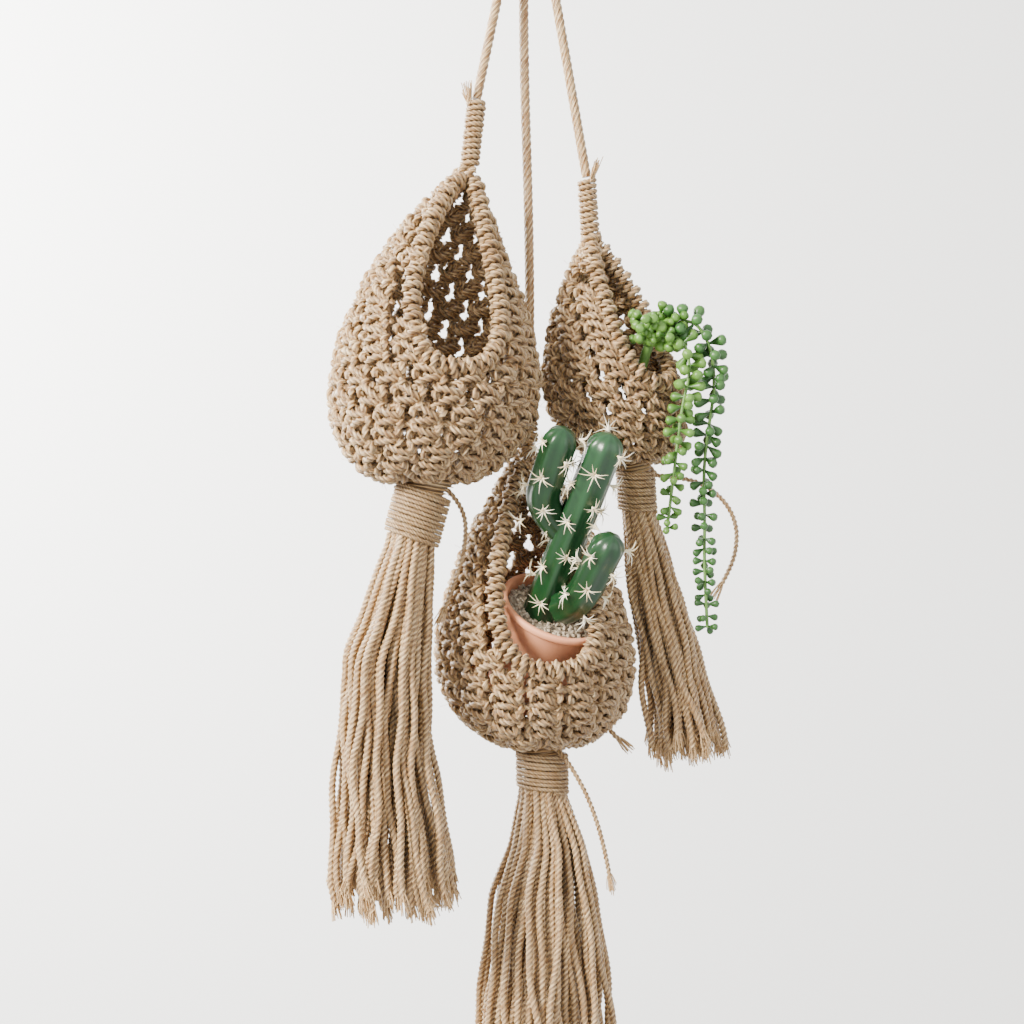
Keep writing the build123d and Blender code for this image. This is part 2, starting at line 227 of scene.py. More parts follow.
def jute_material(name, light, middle, dark, deep):
    """Laid jute: fibres along the plies, painted shade in the valleys between them, each strand its own
    tone.
    """
    material, tree = new_material(name)
    ring = add(tree, "ShaderNodeAttribute", attribute_name="ring").outputs["Vector"]
    along = add(tree, "ShaderNodeAttribute", attribute_name="along").outputs["Fac"]
    valley = add(tree, "ShaderNodeAttribute", attribute_name="valley").outputs["Fac"]
    tone = add(tree, "ShaderNodeAttribute", attribute_name="tone").outputs["Fac"]
    run = add(tree, "ShaderNodeMath", {0: along, 1: 160.0}, operation="MULTIPLY").outputs[0]
    shift = add(tree, "ShaderNodeMath", {0: tone, 1: 90.0, 2: run}, operation="MULTIPLY_ADD").outputs[0]
    lift = add(tree, "ShaderNodeCombineXYZ", {"Z": shift}).outputs[0]
    spread = add(tree, "ShaderNodeVectorMath", {0: ring, "Scale": 4.5}, operation="SCALE").outputs[0]
    where = add(tree, "ShaderNodeVectorMath", {0: spread, 1: lift}, operation="ADD").outputs[0]
    fibres = add(tree, "ShaderNodeTexNoise",
                 {"Vector": where, "Scale": 1.0, "Detail": 3.0, "Roughness": 0.6}).outputs[0]
    ramp = add(tree, "ShaderNodeValToRGB", {"Fac": fibres})
    stops = ramp.color_ramp.elements
    stops[0].position, stops[0].color = 0.38, linear(dark)
    stops[1].position, stops[1].color = 0.60, linear(light)
    between = stops.new(0.48)
    between.color = linear(middle)
    # painted shade: the valleys between the plies are darkened towards the shade colour, standing in for the
    # shade that gathers there
    painted_valley_shade = add(tree, "ShaderNodeMath", {0: valley, 1: 1.2}, operation="POWER").outputs[0]
    painted_valley_shade = add(tree, "ShaderNodeMath", {0: painted_valley_shade, 1: 0.86}, operation="MULTIPLY").outputs[0]
    shaded = blend_colours(tree, painted_valley_shade, ramp.outputs[0], linear(deep))
    coordinates = add(tree, "ShaderNodeTexCoord").outputs["Object"]
    patch = add(tree, "ShaderNodeTexNoise", {"Vector": coordinates, "Scale": 38.0, "Detail": 2.0}).outputs[0]
    mixed = add(tree, "ShaderNodeMath", {0: patch, 1: tone}, operation="ADD").outputs[0]
    warm = add(tree, "ShaderNodeMath", {0: mixed, 1: 0.16}, operation="MULTIPLY").outputs[0]
    colour = blend_colours(tree, warm, shaded, linear(dark))
    height = add(tree, "ShaderNodeBump", {"Strength": 0.55, "Distance": 0.0006, "Height": fibres})
    finish_material(tree, colour, 0.4, height, Sheen_Weight=0.15)
    return material


# the last colour is the painted shade in the valleys between the plies
jute = jute_material("jute_cord", "FCE0AF", "C3965A", "7A5227", "2E1B0A")


def smooth_route(points):
    """Points in metres along a NURBS line that follows this route, given in millimetres."""
    data = bpy.data.curves.new("route", "CURVE")
    data.dimensions = "3D"
    line = data.splines.new("NURBS")
    line.points.add(len(points) - 1)
    for point, place in zip(line.points, points):
        point.co = [c * MM for c in place] + [1.0]
    line.order_u = 3
    line.use_endpoint_u = True
    line.resolution_u = 12
    holder = bpy.data.objects.new("route", data)
    bpy.context.scene.collection.objects.link(holder)
    graph = bpy.context.evaluated_depsgraph_get()
    mesh = bpy.data.meshes.new_from_object(holder.evaluated_get(graph))
    path = [v.co.copy() for v in mesh.vertices]
    bpy.data.objects.remove(holder)
    return path


def route_length(path):
    return sum((b - a).length for a, b in zip(path, path[1:]))


HANGING_ROUTES = {
    "left": ((-3.9, -2.2, -77.2), (-17.5, -7.8, -144.2), (-31.1, -13.35, -211.3)),
    "right": ((3.9, -2.2, -77.2), (19.5, 1.95, -165.8), (35.1, 6.1, -254.4)),
    "lower": ((0, 4.4, -76.8), (-4.9, 6.2, -122), (2.2, 13.6, -334), (-0.2, 16.1, -380.4)),
}
for pod_name, route in HANGING_ROUTES.items():
    path = smooth_route(route)
    rope = strands(f"{pod_name}_hanging_rope", [path], HANGING_CORD_RADIUS, jute, lay=HANGING_CORD_LAY,
                   step=1.2, sides=18, depth=HANGING_CORD_DEPTH, lobes=6)
    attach(rope, f"{pod_name}_line")
    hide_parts(f"{pod_name}_hanging_cord")

# --- Loose ends of the neck wraps: thin jute twine that hangs free beside each tassel --------------
# The end of the wrap is pulled out at the top of the neck and left long.
LOOSE_TWINE_RADIUS = 1.65     # a little fuller, for its grooves
TAIL_ROUTES = {
    "left": ((-45.5, -24, -447), (-38.5, -23, -455), (-36.8, -23, -472), (-42.8, -23.5, -497),
             (-51, -25, -517)),
    "right": ((79, 32, -434.5), (92, 34, -435.5), (107.4, 33, -439), (121, 31, -449.5), (128.5, 29, -464),
              (128, 27, -481), (122.5, 25, -495), (117, 24, -504)),
    "lower": ((22.5, 6, -606.5), (29, 5, -616), (38, 5, -634), (46, 6, -660), (49.5, 7.5, -680)),
}
for pod_name, route in TAIL_ROUTES.items():
    path = smooth_route(route)
    twine = strands(f"{pod_name}_loose_twine", [path], LOOSE_TWINE_RADIUS, jute, lay=9, step=0.9,
                    sides=9, depth=0.4)
    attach(twine, f"{pod_name}_pod")
    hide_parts(f"{pod_name}_wrap_tail")

# --- Hanging loop and gathering wrap: one doubled cord over the hook, bound to the three cords ------
# The loop is the same laid cord as below it, and the wrap is close turns of thinner twine.
LOOP_RADIUS = 13.0
LOOP_DROP = -45.0
LOOP_CENTRE = -10
GATHER_TOP = -43.0
GATHER_FOOT = -75.0


def coil(start, end, radius, pitch, wobble=0.12, seed=1, slant=0.0):
    """A close helix from one point to another, in millimetres, as a line in metres.

    With a slant, each turn runs lower on its +X side.
    """
    start, end = Vector(start), Vector(end)
    along = (end - start).normalized()
    side = along.orthogonal().normalized()
    across = along.cross(side)
    length = (end - start).length
    steps = int(length / pitch * 20)
    chance = random.Random(seed)
    phases = [chance.uniform(0, math.tau) for _ in range(3)]
    line = []
    for i in range(steps + 1):
        share = i / steps
        turn = math.tau * length * share / pitch
        reach = radius + wobble * (math.sin(turn * 0.37 + phases[0]) + math.sin(turn * 1.31 + phases[1]))
        slip = wobble * 1.6 * math.sin(turn * 0.53 + phases[2])
        spot = start + along * (length * share + slip)
        offset = (side * math.cos(turn) + across * math.sin(turn)) * reach
        line.append((spot + offset - Vector((0, 0, slant * offset.x))) * MM)
    return line


loop_line = [Vector((-4.2, 0, LOOP_DROP)) * MM]
for degrees in range(-16, 197, 12):
    angle = math.radians(degrees)
    spot = Vector((-LOOP_RADIUS * math.cos(angle), 0, LOOP_RADIUS * math.sin(angle) + LOOP_CENTRE))
    loop_line.append(spot * MM)
loop_line.append(Vector((4.2, 0, LOOP_DROP)) * MM)
hanging_loop = strands("hanging_loop_rope", [loop_line], HANGING_CORD_RADIUS, jute, lay=HANGING_CORD_LAY,
                       step=1.2, sides=18, depth=HANGING_CORD_DEPTH, lobes=6)
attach(hanging_loop, "hanger")
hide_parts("hanging_loop")
gather = coil((0, 0, GATHER_TOP - 1.5), (0, 0, GATHER_FOOT + 1.5), 8.3, 3.3, seed=5)
inside = [[(a * MM, b * MM, (GATHER_TOP - 1) * MM), (a * MM, b * MM, (GATHER_FOOT - 0.5) * MM)]
          for a, b in ((-4, -2), (4, -2), (0, 4.4), (0, 0))]
gather_wrap = strands("gathering_twine", [gather] + inside, 1.75, jute, lay=10, sides=9, depth=0.3,
                      widths=[[1.0] * len(gather)] + [[1.6, 1.6]] * len(inside))
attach(gather_wrap, "hanger")
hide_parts("gathering_wrap")

# --- Knotted nets: rows of square knots, each half a knot round from the row above ------------------
# Laid jute cord about 5 mm thick. Two working cords cross over two filler cords, twice in each knot,
# and each knot takes two cords from either knot above it.
DROP = 1.94
ROUND = 0.384
MOUTH_DROP = 2.2
MOUTH_ROUND = 0.30
RIM_WIDTH = 9.0
CORD_RADIUS = 2.5
KNOT_PITCH = 24.0        # round the pod, from knot to knot
ROW_PITCH = 12.4
KNOT_HALF = 7.8
KNOT_HEIGHT = 11.8
KNOT_LIFT = 3.6
NET_SINK = -5.6          # middle of the cords, from the pod's outer face


class Pod:
    """Shape of one pod, in millimetres, and places on its surface."""

    def __init__(self, name, axis_x, axis_y, radius, mouth_turn, mouth_half, mouth_share):
        low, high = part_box(f"{name}_net")
        self.name, self.axis_x, self.axis_y, self.radius = name, axis_x, axis_y, radius
        self.top, self.height = high[2] / MM, (high[2] - low[2]) / MM
        self.mouth_half, self.mouth_share = mouth_half, mouth_share
        turn = math.radians(mouth_turn)
        self.ahead = Vector((math.sin(turn), -math.cos(turn), 0))
        self.aside = Vector((math.cos(turn), math.sin(turn), 0))
        self.shares = [0.012 + 0.978 * i / 300 for i in range(301)]
        self.lengths = [0.0]
        for a, b in zip(self.shares, self.shares[1:]):
            rise = self.reach(b) - self.reach(a)
            self.lengths.append(self.lengths[-1] + math.hypot(rise, self.height * (b - a)))

    def centre(self, t):
        a, b, c, d = self.axis_x
        s = 1 - t
        x = a * s ** 3 + 3 * b * s * s * t + 3 * c * s * t * t + d * t ** 3
        return Vector((x, self.axis_y[0] * s + self.axis_y[1] * t, self.top - self.height * t))

    def reach(self, t):
        t = min(max(t, 0.001), 0.999)
        return max(self.radius * math.sin(math.pi * t ** DROP) ** ROUND, 5.0)

    def share(self, length):
        """Height share at this distance down the surface."""
        return float(np.interp(length, self.lengths, self.shares))

    def place(self, turn, t, out):
        """A point: turn from the middle of the mouth, share of the height, and distance out."""
        slope = (self.reach(t + 0.004) - self.reach(t - 0.004)) / 0.008
        size = math.hypot(slope, self.height)
        facing = self.ahead * math.cos(turn) + self.aside * math.sin(turn)
        spot = self.centre(t) + facing * (self.reach(t) + out * self.height / size)
        return (spot + Vector((0, 0, out * slope / size))) * MM

    def mouth_width(self, t):
        first, last = self.mouth_share
        u = (t - first) / (last - first)
        return self.mouth_half * math.sin(math.pi * u ** MOUTH_DROP) ** MOUTH_ROUND if 0 < u < 1 else 0.0

    def mouth_turn_at(self, t, grow):
        """Half the angle that the mouth takes at this height, grown by this many millimetres."""
        first, last = self.mouth_share
        if not first - grow / self.height < t < last + grow / self.height:
            return 0.0
        wide = self.mouth_width(min(max(t, first + 0.01), last - 0.004)) + grow
        return math.asin(min(wide / (self.reach(t) + 0.1), 0.999))


PODS = {
    "left": Pod("left", (-35.4, -63, -49, -61.5), (-16, -32), 63, 16, 23.5, (0.045, 0.625)),
    "right": Pod("right", (37.2, 44.8, 47.2, 65.4), (8, 22), 43.5, 45, 16.5, (0.05, 0.62)),
    "lower": Pod("lower", (0.3, 1.4, 2.6, 8.4), (17, 22), 61.5, 10, 28, (0.07, 0.695)),
}

# one square knot, top to bottom: across, down and out, as shares of its half width, height and lift
OVER_CORD = ((-0.75, -0.55, 0), (-1.05, -0.47, 0.2), (-0.6, -0.38, 1.0), (0.15, -0.2, 1.25),
             (0.8, -0.02, 0.8), (1.1, 0.1, -0.1), (0.85, 0.2, 0.6), (0.2, 0.2, 1.15),
             (-0.5, 0.27, 1.0), (-1.0, 0.38, 0.2), (-0.75, 0.52, 0))
UNDER_CORD = ((0.75, -0.55, 0), (1.1, -0.42, 0.8), (1.12, -0.24, 1.0), (0.7, -0.08, -0.5), (0, -0.05, -1.1),
              (-0.8, -0.12, -0.5), (-1.2, -0.16, 0.6), (-1.1, 0.05, 0.95), (-0.75, 0.12, -0.5),
              (0, 0.1, -1.1), (0.75, 0.13, -0.5), (1.15, 0.24, 0.6), (1.08, 0.42, 1.0), (0.75, 0.55, 0))
FILLER_CORD = ((0.3, -0.50, 0), (0.28, -0.2, -0.1), (0.28, 0.2, -0.1), (0.3, 0.50, 0))


def net_rows(pod):
    """Every knot of a pod: for each row, its distance down the surface and the knots' turns."""
    rows = []
    length = 6.0
    shift = 0.0
    while length < pod.lengths[-1] + 2:
        round_way = math.tau * pod.reach(pod.share(length))
        count = max(4, round(round_way / KNOT_PITCH))
        shift = 0.5 - shift
        turns = [math.tau * (k + shift + 0.25) / count - math.pi for k in range(count)]
        t = pod.share(length)
        gap = pod.mouth_turn_at(t, RIM_WIDTH - 2)
        rows.append((length, count, [a for a in turns if abs(a) > gap]))
        length += ROW_PITCH
    return rows


def net_lines(pod):
    """The lines of all the net's cords."""
    chance = random.Random(pod.name)
    lines = []
    rows = net_rows(pod)
    for number, (length, count, turns) in enumerate(rows):
        half = min(KNOT_HALF, 0.31 * math.tau * pod.reach(pod.share(length)) / count)
        above = rows[number - 1] if number else (length - ROW_PITCH, count, [])
        for turn in turns:
            grow = chance.uniform(0.94, 1.07)
            lean = chance.uniform(-0.22, 0.30)
            lift = chance.uniform(-0.6, 0.3)

            def spot(x, y, out):
                down = length + y * KNOT_HEIGHT * grow + lean * x * half
                down = min(max(down, 0.5), pod.lengths[-1] - 0.5)
                t = pod.share(down)
                angle = turn + (x * half * grow - lean * y * KNOT_HEIGHT) / pod.reach(t)
                return pod.place(angle, t, NET_SINK + lift + out * KNOT_LIFT)

            entries = {}
            for side in (-1, 1):
                step = math.tau / count / 2
                near = [a for a in above[2] if 0.2 * step < side * wrapped(a - turn) < 2.0 * step]
                if near:
                    other = min(near, key=lambda a: abs(wrapped(a - turn)))
                    t = pod.share(above[0] + 5.5)
                    inner = other - side * 0.75 * half / pod.reach(t)
                    outer = other - side * 0.3 * half / pod.reach(t)
                    entries[side] = [pod.place(outer, t, NET_SINK), pod.place(inner, t, NET_SINK)]
                else:
                    t = pod.share(max(length - 9, 0.6))
                    edge = turn + side * step * 0.8
                    gap = pod.mouth_turn_at(t, 4.0)
                    if abs(edge) < gap:
                        edge = math.copysign(gap, turn)
                    entries[side] = [pod.place(edge, t, NET_SINK)] * 2
            lines.append([entries[-1][0]] + [spot(*p) for p in OVER_CORD])
            lines.append([entries[1][0]] + [spot(*p) for p in UNDER_CORD])
            for side in (-1, 1):
                lines.append([entries[side][1]] + [spot(side * x, y, out) for x, y, out in FILLER_CORD])
    return lines


def wrapped(angle):
    """An angle brought to within half a turn of zero."""
    return (angle + math.pi) % math.tau - math.pi


def in_pieces(name, lines, count, body, replaces, radius, **look):
    """Several meshes of strands that share out these lines, all on one body."""
    share = math.ceil(len(lines) / count)
    for number in range(count):
        some = lines[number * share:(number + 1) * share]
        piece = strands(f"{name}_{number + 1}", some, radius, jute, **look)
        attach(piece, body)
        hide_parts(*replaces)


NET_PIECES = {"left": 3, "right": 2, "lower": 3}
for pod_name, pod in PODS.items():
    in_pieces(f"{pod_name}_knots", net_lines(pod), NET_PIECES[pod_name], f"{pod_name}_pod",
              [f"{pod_name}_net"], CORD_RADIUS, lay=12, step=1.35, depth=0.42)


def stray_fibres(name, lines, count, body, reach):
    """Fine loose fibres that stand out of the cords, on one body."""
    chance = random.Random(name)
    hairs = []
    for _ in range(count):
        line = chance.choice(lines)
        foot = Vector(chance.choice(line))
        lean = Vector([chance.uniform(-1, 1) for _ in range(3)]).normalized()
        curl = Vector([chance.uniform(-1, 1) for _ in range(3)]).normalized()
        long = chance.uniform(0.5, 1.0) * reach * MM
        hairs.append([foot, foot + lean * long * 0.6, foot + lean * long + curl * long * 0.3])
    piece = strands(name, hairs, 0.085, jute, step=2.5, sides=3, depth=0)
    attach(piece, body)


for pod_name, pod in PODS.items():
    stray_fibres(f"{pod_name}_pod_fuzz", net_lines(pod), 900, f"{pod_name}_pod", 9)

# --- Mouth rims: a thick edge of half hitches, where the net's cords turn round one carrier cord -----
# The same cord as the net, in close turns that bunch in pairs.
RIM_COIL = 3.8
RIM_PITCH = 5.1
RIM_BUNCH = 10.2
RIM_SINK = -4.2         # middle of the rim, from the pod's outer face
RIM_PARTS = 120         # steps down each side of the mouth


def rim_path(pod):
    """The middle of the rim, round the mouth from its top, as places and outward directions."""
    first, last = pod.mouth_share
    outline = []
    for i in range(RIM_PARTS + 1):
        u = math.sin(math.pi / 2 * i / RIM_PARTS) ** 0.9
        t = first + (last - first) * u
        outline.append((pod.mouth_width(t), -pod.height * t))
    outline += [(-x, z) for x, z in reversed(outline)]
    shape = np.array(outline)
    ahead = np.roll(shape, -1, axis=0) - np.roll(shape, 1, axis=0)
    ahead /= np.linalg.norm(ahead, axis=1)[:, None] + 1e-9
    grown = shape + np.stack([-ahead[:, 1], ahead[:, 0]], axis=1) * RIM_WIDTH / 2
    middle = []
    for x, z in grown:
        t = min(max(-z / pod.height, 0.005), 0.99)
        turn = math.asin(max(-0.999, min(x / pod.reach(t), 0.999)))
        inner = pod.place(turn, t, RIM_SINK)
        middle.append((inner, (pod.place(turn, t, 0) - inner).normalized()))
    return middle


def rim_line(pod):
    """A helix round the middle of the rim."""
    middle = rim_path(pod)
    line = []
    run = 0.0
    for (here, out), (there, _) in zip(middle, middle[1:]):
        step = (there - here).length / MM
        if step < 0.01:
            continue
        along = (there - here).normalized()
        across = along.cross(out).normalized()
        rise = across.cross(along)
        parts = max(2, int(step / RIM_PITCH * 14))
        for k in range(parts):
            share = k / parts
            angle = math.tau * (run + step * share) / RIM_PITCH
            bunch = 1 + 0.2 * math.cos(math.tau * (run + step * share) / RIM_BUNCH)
            reach = RIM_COIL * bunch * MM
            line.append(here.lerp(there, share) + rise * math.cos(angle) * reach
                        + across * math.sin(angle) * reach)
        run += step
    return line


for pod_name, pod in PODS.items():
    core = [place for place, _ in rim_path(pod)]
    rim = strands(f"{pod_name}_rim_hitches", [rim_line(pod), core], CORD_RADIUS, jute, lay=12, step=1.2,
                  depth=0.42)
    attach(rim, f"{pod_name}_pod")
    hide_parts(f"{pod_name}_mouth_rim")

# --- Wraps over the pods: close turns of twine round the cords where they gather above each net ------
# Each wrap is one length of thin twine, wound round the hanging cord's lower end.
TOP_WRAPS = {
    "left": ((-35.4, -16, -252), (-31.2, -13.6, -213)),
    "right": ((37.2, 8, -289), (35.2, 6.2, -256)),
    "lower": ((0.3, 17, -416), (-0.2, 16.2, -382)),
}
TOP_WRAP_RADIUS = 6.2
TOP_TWINE_RADIUS = 1.7
WRAP_PITCH = 3.3
for pod_name, (foot, top) in TOP_WRAPS.items():
    turns = coil(foot, top, TOP_WRAP_RADIUS - TOP_TWINE_RADIUS, WRAP_PITCH, seed=len(pod_name))
    core = [[Vector(foot) * MM, Vector(top) * MM]]
    wrap = strands(f"{pod_name}_top_twine", [turns] + core, TOP_TWINE_RADIUS, jute, lay=9, sides=9,
                   step=1.0, depth=0.35, widths=[[1.0] * len(turns), [2.0, 2.0]])
    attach(wrap, f"{pod_name}_pod")
    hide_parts(f"{pod_name}_top_wrap")

# --- Necks: the net's cords leave the floor of each pod in a bundle, bound by close turns of twine ---
# Thin twine, wound tight, its turns a little lower on the right.
NECKS = {
    "left": ((-61.5, -32, -443.4), (-69, -33, -472), 17),
    "right": ((65.4, 22, -430.2), (67.2, 26, -456), 12.6),
    "lower": ((8.4, 22, -603), (8.7, 22.5, -627), 16.5),
}
NECK_TWINE_RADIUS = 1.3
NECK_PITCH = 2.45
NECK_SLANT = 0.13
for pod_name, (foot, end, radius) in NECKS.items():
    turns = coil(foot, end, radius - NECK_TWINE_RADIUS, NECK_PITCH, seed=7 + len(pod_name),
                 slant=NECK_SLANT)
    down = (Vector(end) - Vector(foot)).normalized()
    core = [(Vector(foot) + down * run) * MM for run in (-9, -5, -1, (Vector(end) - Vector(foot)).length)]
    bulge = [(radius + more) / NECK_TWINE_RADIUS for more in (4, 2.5, -1.5, -1.5)]
    wrap = strands(f"{pod_name}_neck_twine", [turns, core], NECK_TWINE_RADIUS, jute, lay=7, sides=9,
                   step=1.2, depth=0.3, widths=[[1.0] * len(turns), bulge])
    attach(wrap, f"{pod_name}_pod")
    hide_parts(f"{pod_name}_neck", f"{pod_name}_neck_wrap")

# --- Tassels: the net's cords hang loose under each neck, cut off roughly level and frayed -----------
# Each strand keeps its lay to the end, where the plies open into loose fibres.
TASSELS = {
    "left": (84, ((0, 0, 0, 15), (30, -6, 0, 20), (68, -13.5, 0, 28), (128, -15, 1, 31), (200, -12, 1, 40),
                  (227, -8, 1, 43))),
    "right": (58, ((0, 0, 0, 11), (30, 6.6, 4, 15), (54, 12, 8, 18.5), (84, 20, 14, 21), (114, 26, 17, 23),
                   (140, 29.8, 18, 25), (160, 33, 19, 26))),
    "lower": (86, ((0, 0, 0, 15), (33, 3.6, 0, 25), (63, 1.8, 0, 34), (123, 1.5, 0, 44), (177, 1, 0, 48),
                   (225, 1, 0, 48))),
}
GOLDEN = 2.39996         # golden angle, in radians, which spreads the strands evenly
TASSEL_STRAND_RADIUS = 2.4
TASSEL_STEP = 7.5
FRAYED_FIBRES = 20       # at each strand's end


def fray(tip, run, count, chance):
    """Loose fibres that spread from the cut end of a cord."""
    fibres = []
    for _ in range(count):
        lean = Vector([chance.uniform(-1, 1) for _ in range(3)])
        reach_out = chance.uniform(3, 6) * MM
        first = tip - run * 4 * MM + lean * 1.5 * MM
        fibres.append([first, tip + lean * 2.4 * MM, tip + lean * 3.2 * MM + run * reach_out])
    return fibres


def tassel_lines(name):
    """The strands of a tassel, and the loose fibres at their ends."""
    count, skirt = TASSELS[name]
    drops, shift_x, shift_y, reach = (list(column) for column in zip(*skirt))
    pivot = Vector(NECKS[name][1])
    chance = random.Random(name)
    lines, fibres = [], []
    for k in range(count):
        angle = k * GOLDEN + chance.uniform(-0.2, 0.2)
        part = math.sqrt((k + 0.5) / count)
        end = drops[-1] * chance.uniform(0.88, 0.975)
        phase = [chance.uniform(0, math.tau) for _ in range(4)]
        sway = chance.uniform(0.5, 1.0)
        line = []
        drop = -3.0
        while drop < end:
            share = max(drop, 0) / drops[-1]
            wide = max(np.interp(drop, drops, reach) - TASSEL_STRAND_RADIUS, 5)
            turn = angle + 0.5 * share * math.sin(phase[2] + 2 * share) * sway
            loose = 3.0 * math.sqrt(share) * sway
            x = np.interp(drop, drops, shift_x) + math.cos(turn) * part * wide
            y = np.interp(drop, drops, shift_y) + math.sin(turn) * part * wide
            x += loose * math.sin(drop / 23 + phase[0]) + 0.5 * loose * math.sin(drop / 9 + phase[3])
            y += loose * math.sin(drop / 27 + phase[1])
            line.append((pivot + Vector((x, y, -drop))) * MM)
            drop += TASSEL_STEP
        lines.append(line)
        fibres += fray(line[-1], (line[-1] - line[-2]).normalized(), FRAYED_FIBRES, chance)
    return lines, fibres


for pod_name in TASSELS:
    lines, fibres = tassel_lines(pod_name)
    in_pieces(f"{pod_name}_tassel_strands", lines, 1, f"{pod_name}_tassel", [f"{pod_name}_tassel"],
              TASSEL_STRAND_RADIUS, lay=10, step=1.6, depth=0.3)
    frayed = strands(f"{pod_name}_tassel_fray", fibres, 0.34, jute, step=2.0, sides=3, depth=0)
    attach(frayed, f"{pod_name}_tassel")

# --- Cut ends: the loose twines end in a brush, and some cords of the wraps and net stick out --------
# Jute opens into its plies where it is cut. Each stub is the last centimetre or two of a cord of its
# pod, and each root leads a loose twine out from under the neck's winding.
STUBS = {
    "left": ((-35.0, -17, -215), (-36, -17.6, -209.5)),
    "right": ((37.5, 2, -258), (39.4, 0.5, -252.5)),
    "lower": ((41, 18, -575), (50, 15, -590), (57, 13, -597)),
}
for pod_name, stub in STUBS.items():
    chance = random.Random(pod_name)
    stub_line = [Vector(p) * MM for p in stub]
    tail_line = smooth_route(TAIL_ROUTES[pod_name])[-3:]
    ends = []
    for line in (stub_line, tail_line):
        run = (line[-1] - line[-2]).normalized()
        ends += fray(line[-1] + run * 1.5 * MM, run, 22, chance)
    brushes = strands(f"{pod_name}_cut_end_fibres", ends, 0.32, jute, step=2.0, sides=3, depth=0)
    neck_foot, tail_start = Vector(NECKS[pod_name][0]), Vector(TAIL_ROUTES[pod_name][0])
    root = [p * MM for p in (neck_foot.lerp(tail_start, 0.35) + Vector((0, 0, 6)),
                             neck_foot.lerp(tail_start, 0.75) + Vector((0, 0, 3)), tail_start)]
    cut = strands(f"{pod_name}_cut_cord", [stub_line, root], 1.8, jute, lay=10, sides=9, step=1.0,
                  depth=0.35)
    for piece in (brushes, cut):
        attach(piece, f"{pod_name}_pod")

# --- Flower pot: a small thin terracotta cup with a plain lip, leaning forward in the lower pod ------
# Pressed clay, unglazed, with a slightly mottled colour and a matt face.
POT_RIM_CENTRE = Vector((16.8, 1.5, -513.6))
POT_AXIS = Vector((0.296, -0.5, 0.814)).normalized()
POT_RIGHT = (Vector((1, 0, 0)) - POT_AXIS * POT_AXIS.x).normalized()
POT_BACK = POT_AXIS.cross(POT_RIGHT)
POT_SIDES = 96


def in_pot(x, y, z):
    """A place in metres from the pot's own right, back and up, in millimetres."""
    return (POT_RIM_CENTRE + POT_RIGHT * x + POT_BACK * y + POT_AXIS * z) * MM


def turned(name, outline, material):
    """A surface of revolution about the pot's axis. The outline runs from pole to pole."""
    places, faces = [], []
    for radius, height in outline[1:-1]:
        for k in range(POT_SIDES):
            angle = math.tau * k / POT_SIDES
            places.append(in_pot(radius * math.cos(angle), radius * math.sin(angle), height))
    rings = len(outline) - 2
    for i in range(rings - 1):
        for k in range(POT_SIDES):
            n = (k + 1) % POT_SIDES
            low, high = i * POT_SIDES, (i + 1) * POT_SIDES
            faces.append((low + k, low + n, high + n, high + k))
    for ring, pole, flip in ((0, outline[0], True), (rings - 1, outline[-1], False)):
        places.append(in_pot(0, 0, pole[1]))
        for k in range(POT_SIDES):
            a, b = ring * POT_SIDES + k, ring * POT_SIDES + (k + 1) % POT_SIDES
            faces.append((b, a, len(places) - 1) if flip else (a, b, len(places) - 1))
    mesh = bpy.data.meshes.new(name)
    mesh.from_pydata([tuple(p) for p in places], [], faces)
    mesh.materials.append(material)
    mesh.polygons.foreach_set("use_smooth", [True] * len(faces))
    piece = bpy.data.objects.new(name, mesh)
    bpy.context.scene.collection.objects.link(piece)
    return piece


terracotta, tree = new_material("terracotta")
coordinates = add(tree, "ShaderNodeTexCoord").outputs["Object"]
stain = add(tree, "ShaderNodeTexNoise", {"Vector": coordinates, "Scale": 45.0, "Detail": 5.0}).outputs[0]
speck = add(tree, "ShaderNodeTexNoise", {"Vector": coordinates, "Scale": 900.0, "Detail": 2.0}).outputs[0]
colour = blend_colours(tree, stain, linear("D98B62"), linear("E9A883"))
bump = add(tree, "ShaderNodeBump", {"Strength": 0.15, "Distance": 0.0004, "Height": speck})
finish_material(tree, colour, 0.62, bump)
POT_OUTLINE = (
    (0, -68), (20, -68), (22.6, -67.6), (23.5, -66.5), (28, -37), (32.2, -5), (32.6, -4.1),
    (33.6, -3.9), (34, -3.4), (34, -0.6), (33.4, 0), (31.2, 0), (30.6, -0.6), (30.3, -4), (26, -37),
    (21.5, -66), (0, -66))
pot = turned("terracotta_pot", POT_OUTLINE, terracotta)
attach(pot, "lower_pod")
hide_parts("flower_pot")

# --- Potting grit: pale gravel round the foot of the cactus -------------------------------------------
# Loose crushed stone, two or three millimetres across, over a darker bed.
grit, tree = new_material("potting_grit")
tone = add(tree, "ShaderNodeAttribute", attribute_name="tone").outputs["Fac"]
coordinates = add(tree, "ShaderNodeTexCoord").outputs["Object"]
speck = add(tree, "ShaderNodeTexNoise", {"Vector": coordinates, "Scale": 700.0, "Detail": 3.0}).outputs[0]
colour = blend_colours(tree, tone, linear("8B7C68"), linear("CDC2B0"))
colour = blend_colours(tree, speck, colour, linear("A39682"))
bump = add(tree, "ShaderNodeBump", {"Strength": 0.5, "Distance": 0.0005, "Height": speck})
finish_material(tree, colour, 0.85, bump)
bed = turned("grit_bed", ((0, -20), (28, -20), (29.5, -7), (28, -6.6), (14, -6.4), (0, -6.2)), grit)
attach(bed, "lower_pod")
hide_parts("potting_grit")
chance = random.Random("stones")
stones, widths = [], []
